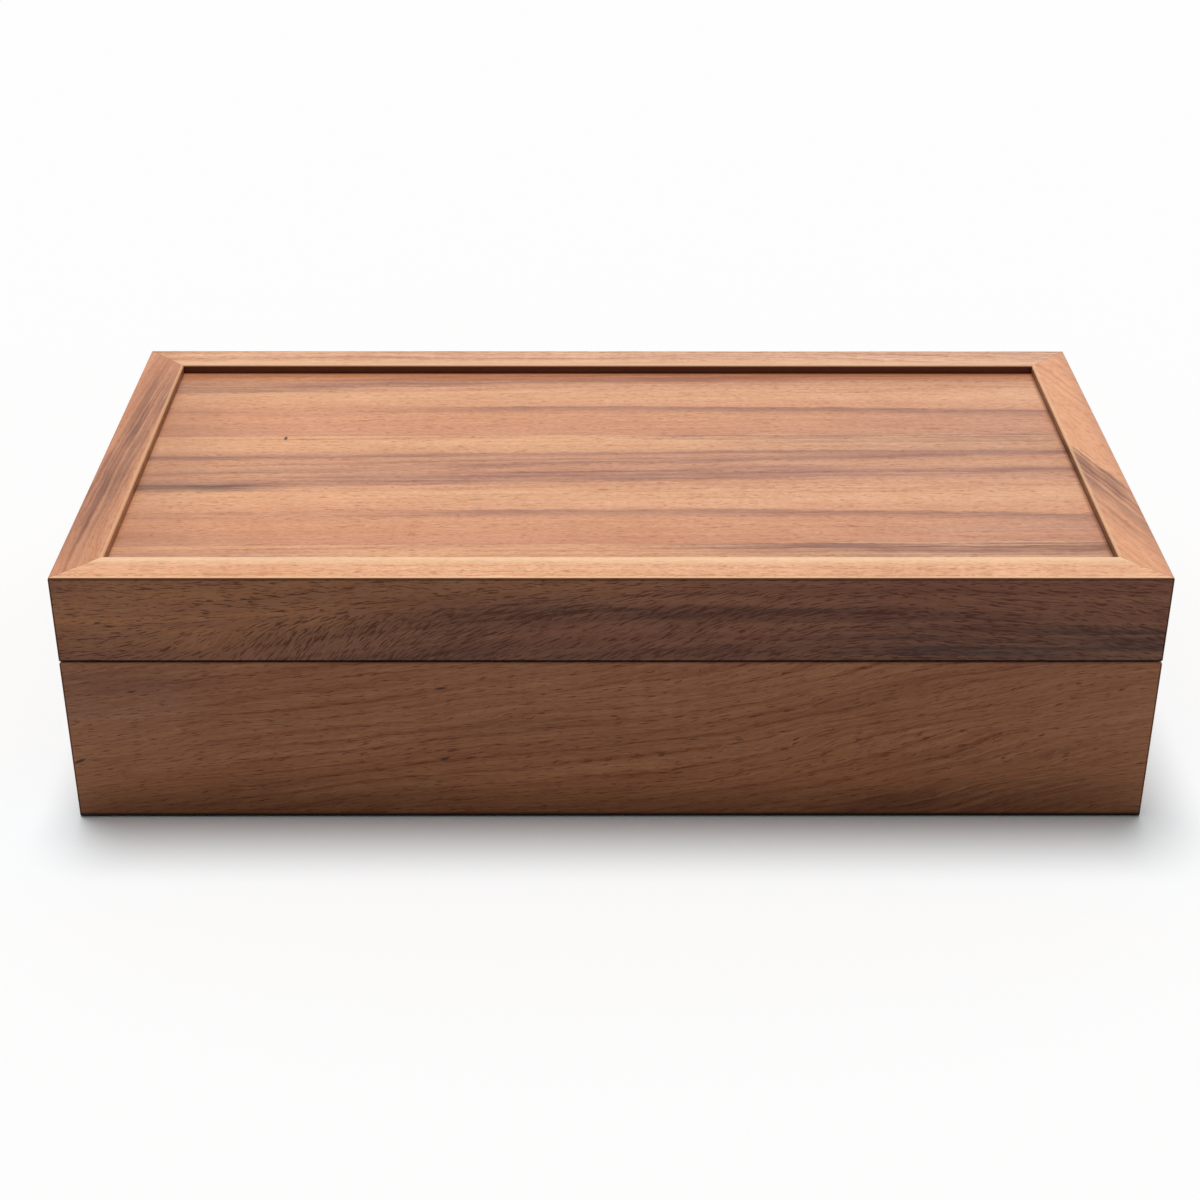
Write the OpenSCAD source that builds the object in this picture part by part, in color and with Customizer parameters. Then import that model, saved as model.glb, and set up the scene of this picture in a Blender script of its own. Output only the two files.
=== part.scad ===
// Wooden tea box: a mitred base with lapped dividers under a hinged lid with a framed, veneered panel.
// Millimetres, +Z up. The origin is the middle of the underside, the front faces -Y, the hinges are at +Y.

/* [Box] */
// Outer width, left to right
box_w = 360; // [300:1:420]
// Outer depth, front to back
box_d = 188; // [160:1:230]
// Height of the base without the lid
base_h = 60.5; // [50:0.5:80]
// Height of the lid
lid_h = 31; // [24:0.5:45]
// Thickness of the base walls and of the lid rails
wall_t = 15; // [13:0.5:20]
// Gap between the base and the closed lid
parting_gap = 0.5; // [0.3:0.1:0.8]
// Width of the chamfer that eases the long edges and the corners
arris = 0.5; // [0.2:0.1:1]

/* [Lid panel] */
// How far the panel lies below the top of the rails
panel_recess = 3.2; // [2:0.1:6]
// Thickness of the core board of the panel
core_t = 4.8; // [3:0.1:8]
// Thickness of the veneer on each side of the core
veneer_t = 0.6; // [0.4:0.1:1.2]
// Width of the middle leaf of the face veneer
veneer_leaf_w = 86; // [70:1:100]
// Distance of the back veneer seam behind the middle of the lid, halfway along it
veneer_seam_y = 22; // [10:0.5:30]
// How much further back the veneer seams run at the right end of the panel than at the left
veneer_lean = 4.5; // [0:0.5:10]
// Depth of the groove that holds the panel in the rails
panel_groove = 6; // [4:0.5:8]

/* [Bottom] */
// Thickness of the bottom board
bottom_t = 5; // [3:0.5:8]
// Height of the bottom board above the underside of the walls
bottom_lift = 4; // [2:0.5:8]
// Depth of the groove that holds the bottom board in the walls
bottom_groove = 6; // [4:0.5:8]

/* [Dividers] */
// Thickness of the dividers
divider_t = 5; // [3:0.5:8]
// How far the dividers end below the rim of the base
divider_drop = 7.5; // [4:0.5:20]
// Number of cross dividers
cross_count = 3; // [1:1:5]
// Depth of the housings that hold the divider ends in the walls
housing_depth = 3; // [2:0.5:5]

/* [Lid stop] */
// Angle at which the bevelled back edges stop the lid
stop_angle = 95; // [85:1:110]
// Depth of the bevels, from the back face to the hinge axis
stop_depth = 4.5; // [4:0.1:6]
// Angle left free on each bevel when the lid is at its stop
stop_slack = 0.5; // [0.2:0.1:1]

/* [Hinges] */
// Length of a hinge
hinge_len = 38; // [30:1:50]
// Distance from the side of the box to the middle of a hinge
hinge_inset = 62; // [45:1:80]
// Thickness of a leaf
leaf_t = 1.5; // [1:0.1:2]
// Gap between the closed leaves
leaf_gap = 0.3; // [0.2:0.1:0.6]
// Wood left between a leaf and the inner face of the wall
leaf_margin = 0.8; // [0.5:0.1:2]
// Diameter of the knuckles
barrel_d = 4; // [3.4:0.1:5]
// Diameter of the pin
pin_d = 1.8; // [1.2:0.1:2.4]
// Number of knuckles on a hinge
knuckle_count = 5; // [3:2:7]

/* [Screws] */
// Outer diameter of the thread
screw_d = 2; // [1.6:0.1:2.4]
// Diameter of the countersunk head
screw_head_d = 3.6; // [3:0.1:4]
// Length of a screw with its head
screw_len = 9; // [6:0.5:12]
// Pitch of the thread
screw_pitch = 0.9; // [0.7:0.1:1.2]
// Depth of the thread
screw_thread = 0.3; // [0.2:0.05:0.4]
// Distance between the two screws of a leaf
screw_spacing = 24; // [16:1:28]
// Width of the arms of the cross recess in a head
recess_w = 0.5; // [0.4:0.05:0.7]
// Depth of the cross recess in a head
recess_depth = 0.7; // [0.4:0.1:1]

/* [Fits] */
// Clearance over a board in its groove
groove_fit = 0.2; // [0.1:0.05:0.4]
// Room at each edge of a grooved board for the wood to swell
edge_play = 0.5; // [0.3:0.1:1]
// Clearance round a divider in its housings and laps
divider_fit = 0.15; // [0.1:0.05:0.3]
// Clearance round a leaf in its mortise
leaf_fit = 0.15; // [0.1:0.05:0.3]
// Running clearance round the pin
pin_fit = 0.05; // [0.03:0.01:0.1]
// Gap between neighbouring knuckles
knuckle_gap = 0.2; // [0.1:0.05:0.4]
// Clearance round the barrel in the wood and in the other leaf
barrel_fit = 0.3; // [0.2:0.1:0.5]
// Clearance round a screw
screw_fit = 0.05; // [0.03:0.01:0.1]

/* [Hidden] */
$fn = 64;
over = 1; // how far a cut runs past the face that it opens

inner_w = box_w - 2 * wall_t;
inner_d = box_d - 2 * wall_t;
lid_z = base_h + parting_gap;

panel_t = core_t + 2 * veneer_t;
panel_z = lid_z + lid_h - panel_recess - panel_t;
panel_w = inner_w + 2 * (panel_groove - edge_play);
panel_d = inner_d + 2 * (panel_groove - edge_play);
face_z = panel_z + veneer_t + core_t;
front_seam_y = veneer_seam_y - veneer_leaf_w;

floor_z = bottom_lift + bottom_t;
divider_h = base_h - divider_drop - floor_z;
lap_h = (divider_h + divider_fit) / 2;
divider_reach = housing_depth - divider_fit;
cell_w = (inner_w - cross_count * divider_t) / (cross_count + 1);
cross_x = [for (i = [1 : cross_count]) -inner_w / 2 + i * (cell_w + divider_t) - divider_t / 2];

axis_y = box_d / 2 - stop_depth;
axis_z = base_h + parting_gap / 2;
hinge_x = box_w / 2 - hinge_inset;
leaf_w = wall_t - stop_depth - leaf_margin;
barrel_r = barrel_d / 2;
knuckle_len = (hinge_len - (knuckle_count - 1) * knuckle_gap) / knuckle_count;
screw_y = -(leaf_w + barrel_r) / 2;
screw_head_h = (screw_head_d - screw_d) / 2;

sides = ["front", "back", "left", "right"];
hinges = ["left", "right"];

base_tone = "#7a5036";
lid_tone = "#c08a5c";
panel_tone = "#cf9a70";
divider_tone = "#b07c52";
board_tone = "#c9a27a";
brass_tone = "#b8934f";

// Sticks: a wall or rail is drawn along X, with its outer face on y = 0 and looking to -Y

function is_long(side) = side == "front" || side == "back";
function stick_len(side) = is_long(side) ? box_w : box_d;
function side_turn(side) = side == "front" ? 0 : side == "right" ? 90 : side == "back" ? 180 : -90;

module on_side(side) {
    rotate(side_turn(side))
        translate([0, -(is_long(side) ? box_d : box_w) / 2, 0])
            children();
}

// Cross-section with its four long edges eased, and the plan with its mitres and eased outer corners
function stick_section(h) = [
    [arris, 0], [wall_t - arris, 0], [wall_t, arris], [wall_t, h - arris],
    [wall_t - arris, h], [arris, h], [0, h - arris], [0, arris]];

function stick_plan(len) = [
    [arris - len / 2, 0], [len / 2 - arris, 0], [len / 2 - arris / 2, arris / 2],
    [len / 2 - wall_t, wall_t], [wall_t - len / 2, wall_t], [arris / 2 - len / 2, arris / 2]];

module along_x(len) {
    rotate([90, 0, 90])
        translate([0, 0, -len / 2])
            linear_extrude(len)
                children();
}

module stick(len, h) {
    intersection() {
        along_x(len) polygon(stick_section(h));
        linear_extrude(h) polygon(stick_plan(len));
    }
}

module groove(len, depth, z, h) {
    translate([-len / 2, wall_t - depth, z])
        cube([len, depth + over, h]);
}

module divider_housing(x) {
    translate([x - divider_t / 2 - divider_fit, wall_t - housing_depth, floor_z])
        cube([divider_t + 2 * divider_fit, housing_depth + over, divider_h + divider_fit]);
}

// The back edges of the base and the lid are bevelled to the hinge axis, and meet when the lid is open
module stop_groove() {
    reach = stop_depth + over;
    rise = reach * tan(stop_angle / 2 + stop_slack);
    translate([0, axis_y, axis_z])
        along_x(box_w + 2 * over)
            polygon([[0, 0], [reach, -rise], [reach, rise]]);
}

// Hinges: drawn round the axis, which runs along X, with the base leaf below and in front of it

module at_hinge(hinge) {
    translate([hinge == "left" ? -hinge_x : hinge_x, axis_y, axis_z])
        children();
}

module at_screws() {
    for (x = [-screw_spacing / 2, screw_spacing / 2])
        translate([x, screw_y, -leaf_gap / 2])
            children();
}

module round_bar(r, len) {
    rotate([0, 90, 0]) cylinder(r = r, h = len, center = true);
}

module knuckle(i, r, len) {
    translate([(i - (knuckle_count - 1) / 2) * (knuckle_len + knuckle_gap), 0, 0])
        round_bar(r, len);
}

module hinge_seat() {
    seat_len = hinge_len + 2 * leaf_fit;
    translate([-seat_len / 2, -leaf_w - leaf_fit, -leaf_gap / 2 - leaf_t])
        cube([seat_len, leaf_w + leaf_fit, leaf_t + over]);
    round_bar(barrel_r + barrel_fit, seat_len);
    at_screws()
        translate([0, 0, -screw_len - screw_fit])
            cylinder(d = screw_d + 2 * screw_fit, h = screw_len);
}

module screw_hole() {
    translate([0, 0, -leaf_t - over])
        cylinder(d = screw_d + 2 * screw_fit, h = leaf_t + over);
    translate([0, 0, -screw_head_h])
        cylinder(d1 = screw_d + 2 * screw_fit, d2 = screw_head_d + 2 * screw_fit, h = screw_head_h);
}

// A leaf carries every other knuckle, from the first one on the base and from the second on the lid
module leaf(first) {
    difference() {
        union() {
            difference() {
                translate([-hinge_len / 2, -leaf_w, -leaf_gap / 2 - leaf_t])
                    cube([hinge_len, leaf_w, leaf_t]);
                for (i = [1 - first : 2 : knuckle_count - 1])
                    knuckle(i, barrel_r + barrel_fit, knuckle_len + 2 * knuckle_gap);
            }
            for (i = [first : 2 : knuckle_count - 1])
                knuckle(i, barrel_r, knuckle_len);
        }
        round_bar(pin_d / 2 + pin_fit, hinge_len + 2 * over);
        at_screws() screw_hole();
    }
}

// The thread is a row of ridges on a pointed shank
function screw_profile() =
    let (ridges = floor((screw_len - screw_head_h - screw_d) / screw_pitch))
    concat(
        [[0, 0], [screw_head_d / 2, 0]],
        [for (i = [0 : ridges - 1]) each [
            [screw_d / 2, -screw_head_h - i * screw_pitch],
            [screw_d / 2 - screw_thread, -screw_head_h - (i + 0.5) * screw_pitch]]],
        [[screw_d / 2, -screw_head_h - ridges * screw_pitch], [0, -screw_len]]);

module screw() {
    difference() {
        rotate_extrude() polygon(screw_profile());
        for (turn = [0, 90])
            rotate(turn)
                translate([-screw_d / 2, -recess_w / 2, -recess_depth])
                    cube([screw_d, recess_w, recess_depth + over]);
    }
}

// Pieces of the base

module base_wall(side) {
    color(base_tone)
        difference() {
            on_side(side)
                difference() {
                    stick(stick_len(side), base_h);
                    groove(stick_len(side), bottom_groove, bottom_lift, bottom_t + groove_fit);
                    for (x = is_long(side) ? cross_x : [0])
                        divider_housing(x);
                }
            if (side != "front")
                stop_groove();
            if (side == "back")
                for (hinge = hinges)
                    at_hinge(hinge) hinge_seat();
        }
}

module bottom_board() {
    reach = bottom_groove - edge_play;
    color(board_tone)
        translate([-inner_w / 2 - reach, -inner_d / 2 - reach, bottom_lift])
            cube([inner_w + 2 * reach, inner_d + 2 * reach, bottom_t]);
}

module long_divider() {
    len = inner_w + 2 * divider_reach;
    color(divider_tone)
        difference() {
            translate([-len / 2, -divider_t / 2, floor_z])
                cube([len, divider_t, divider_h]);
            for (x = cross_x)
                translate([x - divider_t / 2 - divider_fit, -divider_t / 2 - over, floor_z + divider_h - lap_h])
                    cube([divider_t + 2 * divider_fit, divider_t + 2 * over, lap_h + over]);
        }
}

module cross_divider(x) {
    len = inner_d + 2 * divider_reach;
    color(divider_tone)
        translate([x, 0, floor_z])
            difference() {
                translate([-divider_t / 2, -len / 2, 0])
                    cube([divider_t, len, divider_h]);
                translate([-divider_t / 2 - over, -divider_t / 2 - divider_fit, -over])
                    cube([divider_t + 2 * over, divider_t + 2 * divider_fit, lap_h + over]);
            }
}

// Pieces of the lid

module lid_rail(side) {
    color(lid_tone)
        difference() {
            translate([0, 0, lid_z])
                on_side(side)
                    difference() {
                        stick(stick_len(side), lid_h);
                        groove(stick_len(side), panel_groove, panel_z - lid_z, panel_t + groove_fit);
                    }
            if (side != "front")
                stop_groove();
            if (side == "back")
                for (hinge = hinges)
                    at_hinge(hinge) mirror([0, 0, 1]) hinge_seat();
        }
}

module panel_layer(z, t, front, back, front_lean = 0, back_lean = 0) {
    translate([0, 0, z])
        linear_extrude(t)
            polygon([
                [-panel_w / 2, front - front_lean / 2], [panel_w / 2, front + front_lean / 2],
                [panel_w / 2, back + back_lean / 2], [-panel_w / 2, back - back_lean / 2]]);
}

module lid_panel_core() {
    color(board_tone) panel_layer(panel_z + veneer_t, core_t, -panel_d / 2, panel_d / 2);
}

module lid_lining_veneer() {
    color(panel_tone) panel_layer(panel_z, veneer_t, -panel_d / 2, panel_d / 2);
}

module lid_veneer(front, back, front_lean, back_lean) {
    color(panel_tone) panel_layer(face_z, veneer_t, front, back, front_lean, back_lean);
}

// Pieces of the hinges

module hinge_base_leaf(hinge) {
    color(brass_tone) at_hinge(hinge) leaf(0);
}

module hinge_lid_leaf(hinge) {
    color(brass_tone) at_hinge(hinge) mirror([0, 0, 1]) leaf(1);
}

module hinge_pin(hinge) {
    color(brass_tone) at_hinge(hinge) round_bar(pin_d / 2, hinge_len);
}

module base_leaf_screws(hinge) {
    color(brass_tone) at_hinge(hinge) at_screws() screw();
}

module lid_leaf_screws(hinge) {
    color(brass_tone) at_hinge(hinge) mirror([0, 0, 1]) at_screws() screw();
}

for (side = sides) {
    base_wall(side);
    lid_rail(side);
}
bottom_board();
long_divider();
for (i = [1 : cross_count])
    cross_divider(cross_x[i - 1]);
lid_panel_core();
lid_lining_veneer();
lid_veneer(veneer_seam_y, panel_d / 2, veneer_lean, 0);  // lid_veneer_back
lid_veneer(front_seam_y, veneer_seam_y, veneer_lean, veneer_lean);  // lid_veneer_middle
lid_veneer(-panel_d / 2, front_seam_y, 0, veneer_lean);  // lid_veneer_front
for (hinge = hinges) {
    hinge_base_leaf(hinge);
    hinge_lid_leaf(hinge);
    hinge_pin(hinge);
    base_leaf_screws(hinge);
    lid_leaf_screws(hinge);
}
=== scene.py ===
import math
import bmesh
import bpy
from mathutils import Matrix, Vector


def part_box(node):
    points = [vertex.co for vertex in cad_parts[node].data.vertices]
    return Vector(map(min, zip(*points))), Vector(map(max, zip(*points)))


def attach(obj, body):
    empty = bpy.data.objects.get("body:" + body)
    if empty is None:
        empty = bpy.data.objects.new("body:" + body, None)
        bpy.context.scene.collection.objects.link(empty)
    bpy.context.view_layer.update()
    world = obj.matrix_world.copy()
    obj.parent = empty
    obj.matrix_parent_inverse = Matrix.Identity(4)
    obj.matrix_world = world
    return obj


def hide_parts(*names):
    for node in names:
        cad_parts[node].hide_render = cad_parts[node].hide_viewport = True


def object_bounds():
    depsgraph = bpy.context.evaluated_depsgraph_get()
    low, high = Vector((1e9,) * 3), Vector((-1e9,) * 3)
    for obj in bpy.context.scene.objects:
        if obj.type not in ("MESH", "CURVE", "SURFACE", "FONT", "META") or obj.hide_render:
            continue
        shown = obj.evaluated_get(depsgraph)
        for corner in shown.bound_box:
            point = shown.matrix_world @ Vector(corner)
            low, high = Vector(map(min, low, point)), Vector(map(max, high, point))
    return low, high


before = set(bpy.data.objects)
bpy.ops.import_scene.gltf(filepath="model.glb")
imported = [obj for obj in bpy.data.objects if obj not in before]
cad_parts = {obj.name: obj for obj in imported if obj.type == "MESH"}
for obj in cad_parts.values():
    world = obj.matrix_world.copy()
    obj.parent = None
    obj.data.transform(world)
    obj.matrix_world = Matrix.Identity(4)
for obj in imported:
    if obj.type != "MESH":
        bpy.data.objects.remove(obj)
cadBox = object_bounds()                                   # the CAD model's box
print("frame loaded with", len(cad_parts), "nodes")

mm = 0.001


def toLinear(tone):                                    # sRGB hex to a linear colour
    parts = [int(tone[i:i + 2], 16) / 255 for i in (1, 3, 5)]
    return [p / 12.92 if p <= 0.04045 else ((p + 0.055) / 1.055) ** 2.4 for p in parts] + [1.0]


def addNode(tree, kind, inputs=None, stops=(), **settings):    # every shader node is added here
    node = tree.nodes.new("ShaderNode" + kind)
    for key, value in settings.items():
        setattr(node, key, value)
    for key, value in (inputs or {}).items():
        if isinstance(value, bpy.types.Node):          # a node stands for its first live output
            value = next(out for out in value.outputs if out.enabled)
        if isinstance(value, bpy.types.NodeSocket):
            tree.links.new(value, node.inputs[key])
        else:
            node.inputs[key].default_value = value
    for number, (at, tone) in enumerate(stops):        # places and colours of a colour ramp
        if number >= len(node.color_ramp.elements):
            node.color_ramp.elements.new(at)
        node.color_ramp.elements[number].position = at
        node.color_ramp.elements[number].color = toLinear(tone)
    return node


smooth = {"interpolation_type": "SMOOTHSTEP"}          # a soft start and end of a change


def newMaterial(name):
    mat = bpy.data.materials.new(name)
    mat.use_nodes = True
    mat.node_tree.nodes.clear()
    return mat, mat.node_tree


# camera: the photograph's own viewpoint, worked out from the corners of the box

view = {"place": (-0.0066, -0.698, 0.4209), "pitch": 29.142, "yaw": 0.271, "roll": 0.127, "lens": 64.7,
        "sensor": 36.0}

bpy.ops.object.camera_add(location=view["place"])
camera = bpy.context.object
camera.rotation_euler = (math.radians(90 - view["pitch"]), 0, math.radians(-view["yaw"]))
camera.rotation_euler.rotate_axis("Z", math.radians(view["roll"]))
camera.data.lens = view["lens"]
camera.data.sensor_width = view["sensor"]
bpy.context.scene.camera = camera
bpy.context.scene.view_settings.view_transform = "Standard"

# studio: a soft light above and a little behind the box, a white sweep and weak light from all round

studio = {"keyPlace": (0, 0.5, 1.5), "keyLean": 10.4, "keySide": -2.8, "keySpread": 24.5,
          "keyPower": 2.45, "fill": 0.24, "floorTone": "#fdfdfd", "nearTone": "#f8fdff", "nearMm": 60,
          "floorBounce": "#808080", "floorSize": 8.0, "floorDrop": 0.0002}

bpy.ops.object.light_add(type="SUN", location=studio["keyPlace"])
key = bpy.context.object
key.name = "softKey"
key.rotation_euler = (math.radians(-studio["keyLean"]), math.radians(studio["keySide"]), 0)
key.data.angle = math.radians(studio["keySpread"])
key.data.energy = studio["keyPower"]


def seenDirectly(tree):                                # 1 where the camera looks, also in gloss or glass
    rays = addNode(tree, "LightPath").outputs
    either = addNode(tree, "Math", {0: rays["Is Camera Ray"], 1: rays["Is Glossy Ray"]},
                     operation="MAXIMUM")
    return addNode(tree, "Math", {0: either, 1: rays["Is Transmission Ray"]}, operation="MAXIMUM")


world = bpy.data.worlds.new("whiteStudio")
bpy.context.scene.world = world
world.use_nodes = True
world.node_tree.nodes.clear()
seen = seenDirectly(world.node_tree)
level = addNode(world.node_tree, "MapRange", {0: seen, 3: studio["fill"], 4: 1.0})
backdrop = addNode(world.node_tree, "Background", {"Color": (1, 1, 1, 1), "Strength": level})
addNode(world.node_tree, "OutputWorld", {0: backdrop})

bpy.ops.object.select_all(action="DESELECT")
bpy.ops.mesh.primitive_plane_add(size=studio["floorSize"], location=(0, 0, -studio["floorDrop"]))
floor = bpy.context.object
floor.name = "paleFloor"
floorMat, floorTree = newMaterial("matt_white_paper")
place = addNode(floorTree, "TexCoord").outputs["Object"]
spot = addNode(floorTree, "VectorMath", {0: place}, operation="ABSOLUTE")
spot = addNode(floorTree, "VectorMath", {0: spot, 1: (*cadBox[1].xy, 0)}, operation="SUBTRACT")
spot = addNode(floorTree, "VectorMath", {0: spot, 1: (0, 0, 0)}, operation="MAXIMUM")
away = addNode(floorTree, "VectorMath", {0: spot}, operation="LENGTH").outputs["Value"]
away = addNode(floorTree, "MapRange", {0: away, 1: 0.0, 2: studio["nearMm"] * mm})
near = toLinear(studio["nearTone"])                    # cooler near the wood, so the shadow stays grey
tone = addNode(floorTree, "Mix", {0: away, 6: near, 7: toLinear(studio["floorTone"])}, data_type="RGBA")
paper = addNode(floorTree, "Mix", {0: seenDirectly(floorTree), 6: toLinear(studio["floorBounce"]),
                                   7: tone.outputs["Result"]}, data_type="RGBA")
matt = addNode(floorTree, "BsdfDiffuse", {"Color": paper})
addNode(floorTree, "OutputMaterial", {0: matt})
floor.data.materials.append(floorMat)
print("camera, light and floor ready")

# acacia: solid boards and sliced veneer, sanded and oiled to a satin sheen. What the eye gets is soft
# bands of tan and purple-brown along the grain, thin growth lines, short dark pore dashes and a slight
# shimmer across the grain. All lengths are in millimetres. Pores are drawn about twice as wide as real,
# so that they show in the render.

stock = {"sign": 1, "offset": 0, "slope": 0, "tilt": 0.6, "waver": 2.5, "bends": [], "ripple": 0.25,
         "bandMm": 14, "bandLong": 600, "bandDeep": 60, "spread": 0.3, "jitter": 0.1,
         "lineMm": 1.6, "lineLong": 150, "lineDeep": 12, "lineDepth": 0.09, "fibreDepth": 0.13,
         "ringMm": 6, "ringDepth": 0.2, "ringSpan": (-250, 250), "mottle": 0.06, "speckle": 0.06,
         "figure": 0.03, "figureMm": 6, "figureWide": 22, "swing": (0.64, 1.0, 1.28),
         "poreLong": 4, "poreWide": 0.42, "poreLevel": 0.61, "poreDepth": 0.62, "poreTone": "#55271a",
         "streaks": [], "streakTone": "#7c4f36", "specks": [], "knotTone": "#2a1710",
         # the edge tone is painted shade on edges, the arris tone a painted highlight on eased edges
         "knotEdge": (0.5, 1.2), "edgeShadeTone": "#1c0f0a", "edgeShadeShare": 0.95, "arrisHighlightTone": "#e9b98c",
         "arrisHighlightShare": 0.5, "rimMm": 0.2, "rough": 0.42, "gloss": 0.25}
plainStreak = {"mid": 0, "arch": 0, "rise": 0, "ragged": 1.0, "fade": 30, "wear": 0.75, "worn": 0.9}
grainMm = {"ripple": (9, 2.6, 2.6), "waver": (170, 40, 40), "ragged": (60, 8, 8), "worn": (42, 5, 5),
           "fibre": (13, 0.6, 0.6), "patch": (55, 30, 30), "speckle": (2.6, 0.7, 0.7),
           "ringDrift": (240, 26, 26), "ringShown": (80, 22, 22), "ringDashed": (8, 1.5, 1.5)}
ringShape = {"drift": 0.45, "fray": 0.07, "crest": 0.12, "end": 0.36, "fade": 60, "pores": -0.08,
             "shown": (-0.8, 0.3, 0.35), "dashed": (-0.5, 0.5, 0.55)}
poreShape = {"power": 3.0, "thin": 0.35, "soft": 0.06}
glueLine = {"from": 0.03, "to": 0.25, "share": 0.55}
oiled = {"relief": -1.5, "bump": 0.3, "bumpMm": 0.03, "poreDull": 0.12, "fibreDull": 0.04,
         "edgeDull": 0.5, "edgeGloss": 0.1, "patchShare": 0.7}


def variation(tree, vector, sizes, seed, detail=2.0):  # noise from -1 to 1; sizes along, across and deep
    scaled = addNode(tree, "Mapping", {"Vector": vector, "Location": (seed, 2.7 * seed, 5.1 * seed),
                                       "Scale": [1 / size for size in sizes]})
    noise = addNode(tree, "TexNoise", {"Vector": scaled, "Scale": 1.0, "Detail": detail,
                                       "Roughness": 0.6})
    return addNode(tree, "MapRange", {0: noise, 1: 0.3, 2: 0.7, 3: -1.0, 4: 1.0})


def grainField(tree, wood):                            # along, across, depth and grain lines of a board
    place = addNode(tree, "TexCoord").outputs["Object"]
    inMm = addNode(tree, "VectorMath", {0: place, 1: (1 / mm, 1 / mm, 1 / mm)}, operation="MULTIPLY")
    axes = addNode(tree, "SeparateXYZ", {0: inMm}).outputs
    along, across, depth = [axes[name] for name in wood["axes"]]
    lay = addNode(tree, "CombineXYZ", {0: along, 1: across, 2: depth})
    sheet = addNode(tree, "Math", {0: across, 1: wood["sign"], 2: wood["offset"]},
                    operation="MULTIPLY_ADD")
    sheet = addNode(tree, "Math", {0: along, 1: wood["slope"], 2: sheet}, operation="MULTIPLY_ADD")
    if "plunge" in wood:                               # streaks lean as they go down into the board
        sunk = addNode(tree, "Math", {0: depth, 1: wood["plunge"]["from"]}, operation="SUBTRACT")
        sheet = addNode(tree, "Math", {0: sunk, 1: wood["plunge"]["lean"], 2: sheet},
                        operation="MULTIPLY_ADD")
    ripple = variation(tree, lay, grainMm["ripple"], wood["seed"] + 1.1)
    sheet = addNode(tree, "Math", {0: ripple, 1: wood["ripple"], 2: sheet}, operation="MULTIPLY_ADD")
    waver = variation(tree, lay, grainMm["waver"], wood["seed"] + 0.3)
    lines = addNode(tree, "Math", {0: waver, 1: wood["waver"], 2: sheet}, operation="MULTIPLY_ADD")
    lines = addNode(tree, "Math", {0: depth, 1: wood["tilt"], 2: lines}, operation="MULTIPLY_ADD")
    field = {"axes": axes, "along": along, "across": across, "lay": lay, "sheet": sheet, "turned": 1.0}
    if "cap" in wood:                                  # top faces show their own straight grain and lighter tones; the darker sides are partly painted shade
        field["cap"] = addNode(tree, "MapRange", {0: axes["Z"], 1: wood["cap"]["from"],
                                                  2: wood["cap"]["to"]})
        field["turned"] = addNode(tree, "Math", {0: 1.0, 1: field["cap"]}, operation="SUBTRACT")
    for bend in wood["bends"]:                         # the grain climbs by a rise between two places
        climb = addNode(tree, "MapRange", {0: along, 1: bend["from"], 2: bend["to"], 3: 0.0,
                                           4: -bend["rise"]}, **smooth)
        lines = addNode(tree, "Math", {0: climb, 1: field["turned"], 2: lines}, operation="MULTIPLY_ADD")
    field["lines"] = lines
    field["grain"] = addNode(tree, "CombineXYZ", {0: along, 1: lines, 2: depth})
    return field


def grainLays(tree, wood, field):                      # directions of fibres and pores, with weights
    if "swirl" not in wood:
        return [(field["grain"], 1.0)]
    swirl = wood["swirl"]
    angle = swirl["start"]
    for turn in swirl["turns"]:
        more = addNode(tree, "MapRange", {0: field["along"], 1: turn["from"], 2: turn["to"], 3: 0.0,
                                          4: turn["by"]}, **smooth)
        angle = addNode(tree, "Math", {0: more, 1: angle}, operation="ADD")
    upper = addNode(tree, "MapRange", {0: field["along"], 1: swirl["rim"]["from"], 2: swirl["rim"]["to"],
                                       3: swirl["rim"]["low"], 4: swirl["rim"]["high"]})
    under = addNode(tree, "Math", {0: upper, 1: field["across"]}, operation="SUBTRACT")
    share = addNode(tree, "MapRange", {0: under, 1: 0.0, 2: swirl["rim"]["soft"]}, **smooth)
    share = addNode(tree, "Math", {0: share, 1: field["turned"]}, operation="MULTIPLY")
    angle = addNode(tree, "Math", {0: angle, 1: share}, operation="MULTIPLY")
    lays = []
    for lean in range(swirl["least"], swirl["most"] + 1, swirl["step"]):
        turned = addNode(tree, "VectorRotate", {"Vector": field["lay"], "Angle": math.radians(-lean)},
                         rotation_type="Z_AXIS")
        off = addNode(tree, "Math", {0: angle, 1: lean}, operation="SUBTRACT")
        off = addNode(tree, "Math", {0: off}, operation="ABSOLUTE")
        weight = addNode(tree, "MapRange", {0: off, 1: 0.0, 2: swirl["step"], 3: 1.0, 4: 0.0})
        lays.append((turned, weight))
    return lays


def fadedEnds(tree, along, first, last, fade):         # masks that fade a mark in and out along the grain
    return [addNode(tree, "MapRange", {0: along, 1: end, 2: end + way}, **smooth)
            for end, way in ((first, fade), (last, -fade))]


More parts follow.
